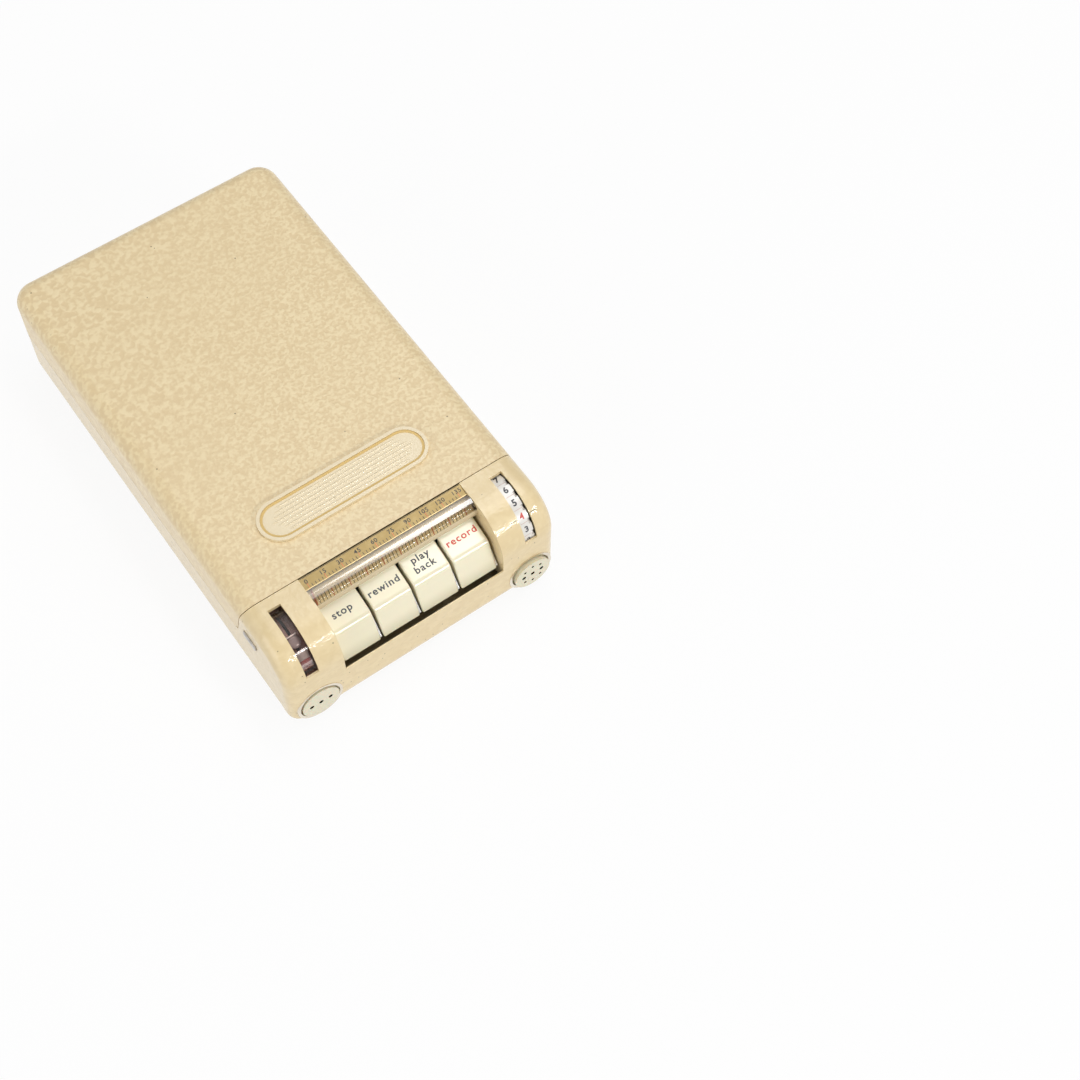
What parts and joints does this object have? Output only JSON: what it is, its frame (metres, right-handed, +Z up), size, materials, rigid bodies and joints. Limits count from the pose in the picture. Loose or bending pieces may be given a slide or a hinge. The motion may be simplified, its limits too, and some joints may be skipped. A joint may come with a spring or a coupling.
{
  "type": "pocket wire recorder",
  "caption": "Flat pocket wire recorder: rounded metal case with a hinged cover, piano keys, a minute scale under a clear bar, edge wheels and two round sockets.",
  "frame": {"origin": "middle of the case's flat underside", "axes": "+X to the recorder's right, +Y from the keys to the back, +Z up through the cover"},
  "size_m": [0.0992, 0.1715, 0.0419],
  "materials": {
    "cream_paint": "hammer-finish cream lacquer, satin",
    "ivory_plastic": "glossy moulded ivory",
    "wheel_plastic": "glossy white moulding",
    "nickel": "nickel plated",
    "steel": "bright zinc plated",
    "aluminium": "turned and brushed",
    "wire_steel": "fine bright stainless wire",
    "gold_sheet": "gold anodised sheet, satin",
    "clear_plastic": "clear polished acrylic",
    "dark_plastic": "dark brown moulding",
    "pointer_red": "orange-red lacquer",
    "badge_paint": "cream enamel with a gold line",
    "brass": "turned brass",
    "rubber": "black neoprene",
    "board": "brown paper laminate",
    "valve_glass": "clear glass with a silvered top",
    "capacitor_can": "blue-sleeved cans",
    "transformer": "varnished laminations",
    "battery_card": "printed card sleeve, no lettering",
    "zinc": "plain zinc can"
  },
  "bodies": {
    "case": {"lower_case": "cream_paint", "hinge_pin": "steel", "key_frame": "steel", "key_shaft": "steel", "key_springs": "steel", "contact_stack": "dark_plastic", "scale_plate": "gold_sheet", "scale_lens": "clear_plastic", "volume_control": "dark_plastic", "meter_housing": "dark_plastic", "meter_window": "clear_plastic", "instrument_brackets": "steel", "socket_rings": "nickel", "left_socket": "ivory_plastic", "right_socket": "ivory_plastic", "socket_contacts": "brass", "deck_plate": "aluminium", "deck_posts": "steel", "deck_screws": "steel", "spindle_bushes": "brass", "motor_case": "zinc", "drive_belt": "rubber", "circuit_board": "board", "amplifier_valves": "valve_glass", "capacitors": "capacitor_can", "output_transformer": "transformer", "battery_tray": "dark_plastic", "dry_cells": "zinc", "battery_contacts": "brass", "anode_battery": "battery_card"},
    "cover": {"top_cover": "cream_paint", "cover_badge": "badge_paint"},
    "volume": {"volume_wheel": "wheel_plastic", "volume_shaft": "steel"},
    "needle": {"meter_needle": "pointer_red"},
    "pointer": {"scale_pointer": "pointer_red"},
    "screw": {"pointer_screw": "steel"},
    "left_release": {"left_catch": "nickel"},
    "right_release": {"right_catch": "nickel"},
    "supply": {"supply_spool": "aluminium", "supply_wire": "wire_steel", "supply_spindle": "steel"},
    "take_up": {"take_up_spool": "aluminium", "take_up_wire": "wire_steel", "take_up_spindle": "steel"},
    "motor": {"motor_rotor": "brass"},
    "level_wind": {"level_cam": "brass"},
    "head": {"head_carriage": "aluminium", "recording_head": "dark_plastic", "wire_run": "wire_steel"},
    "latch": {"latch_bar": "steel"},
    "stop": {"stop_key": "ivory_plastic", "stop_lever": "nickel"},
    "rewind": {"rewind_key": "ivory_plastic", "rewind_lever": "nickel"},
    "playback": {"playback_key": "ivory_plastic", "playback_lever": "nickel"},
    "record": {"record_key": "ivory_plastic", "record_lever": "nickel"}
  },
  "joints": [
    {"name": "cover_hinge", "type": "hinge", "parent": "case", "child": "cover", "pos_m": [0, 0.0833, 0.0225], "axis": [-1, 0, 0], "range_deg": [0, 90]},
    {"name": "stop_press", "type": "hinge", "parent": "case", "child": "stop", "pos_m": [0, -0.057, 0.024], "axis": [1, 0, 0], "range_deg": [0, 8], "stiffness_Nm_per_rad": 0.25, "springref_deg": -8.59},
    {"name": "rewind_press", "type": "hinge", "parent": "case", "child": "rewind", "pos_m": [0, -0.057, 0.024], "axis": [1, 0, 0], "range_deg": [0, 8], "stiffness_Nm_per_rad": 0.25, "springref_deg": -8.59},
    {"name": "playback_press", "type": "hinge", "parent": "case", "child": "playback", "pos_m": [0, -0.057, 0.024], "axis": [1, 0, 0], "range_deg": [0, 8], "stiffness_Nm_per_rad": 0.25, "springref_deg": -8.59},
    {"name": "record_press", "type": "hinge", "parent": "case", "child": "record", "pos_m": [0, -0.057, 0.024], "axis": [1, 0, 0], "range_deg": [0, 8], "stiffness_Nm_per_rad": 0.25, "springref_deg": -8.59},
    {"name": "latch_slide", "type": "slide", "parent": "case", "child": "latch", "axis": [1, 0, 0], "range_m": [0, 0.0016], "stiffness_N_per_m": 150, "springref_m": -0.002},
    {"name": "volume_turn", "type": "hinge", "parent": "case", "child": "volume", "pos_m": [0.0397, -0.0703, 0.0263], "axis": [1, 0, 0], "range_deg": [-120, 80]},
    {"name": "needle_swing", "type": "hinge", "parent": "case", "child": "needle", "pos_m": [-0.0397, -0.0703, 0.0263], "axis": [1, 0, 0], "range_deg": [-31, 44], "stiffness_Nm_per_rad": 0.00002},
    {"name": "pointer_slide", "type": "slide", "parent": "case", "child": "pointer", "axis": [1, 0, 0], "range_m": [0, 0.0541]},
    {"name": "screw_turn", "type": "hinge", "parent": "case", "child": "screw", "pos_m": [0, -0.0636, 0.0366], "axis": [1, 0, 0], "range_deg": [0, 6497]},
    {"name": "left_release_press", "type": "hinge", "parent": "case", "child": "left_release", "pos_m": [-0.045, -0.041, 0.0289], "axis": [0, 0, 1], "range_deg": [0, 3.5], "stiffness_Nm_per_rad": 0.2, "springref_deg": -2.86},
    {"name": "right_release_press", "type": "hinge", "parent": "case", "child": "right_release", "pos_m": [0.045, -0.041, 0.0289], "axis": [0, 0, -1], "range_deg": [0, 3.5], "stiffness_Nm_per_rad": 0.2, "springref_deg": -2.86},
    {"name": "supply_spin", "type": "hinge", "parent": "case", "child": "supply", "pos_m": [-0.0225, 0, 0.029], "axis": [0, 0, -1], "continuous": true},
    {"name": "take_up_spin", "type": "hinge", "parent": "case", "child": "take_up", "pos_m": [0.0225, 0, 0.029], "axis": [0, 0, -1], "continuous": true},
    {"name": "motor_spin", "type": "hinge", "parent": "case", "child": "motor", "pos_m": [-0.026, -0.028, 0.018], "axis": [0, 0, -1], "continuous": true},
    {"name": "level_turn", "type": "hinge", "parent": "case", "child": "level_wind", "pos_m": [0, -0.028, 0.026], "axis": [0, 0, -1], "continuous": true},
    {"name": "head_lift", "type": "slide", "parent": "case", "child": "head", "axis": [0, 0, 1], "range_m": [-0.0015, 0.0015]}
  ],
  "couplings": [
    {"joint": "screw_turn", "follows": "pointer_slide", "rad_per_m": 2094.4},
    {"joint": "take_up_spin", "follows": "supply_spin", "ratio": 1.7619},
    {"joint": "motor_spin", "follows": "supply_spin", "ratio": 6.0065},
    {"joint": "level_turn", "follows": "supply_spin", "ratio": 0.44048}
  ]
}
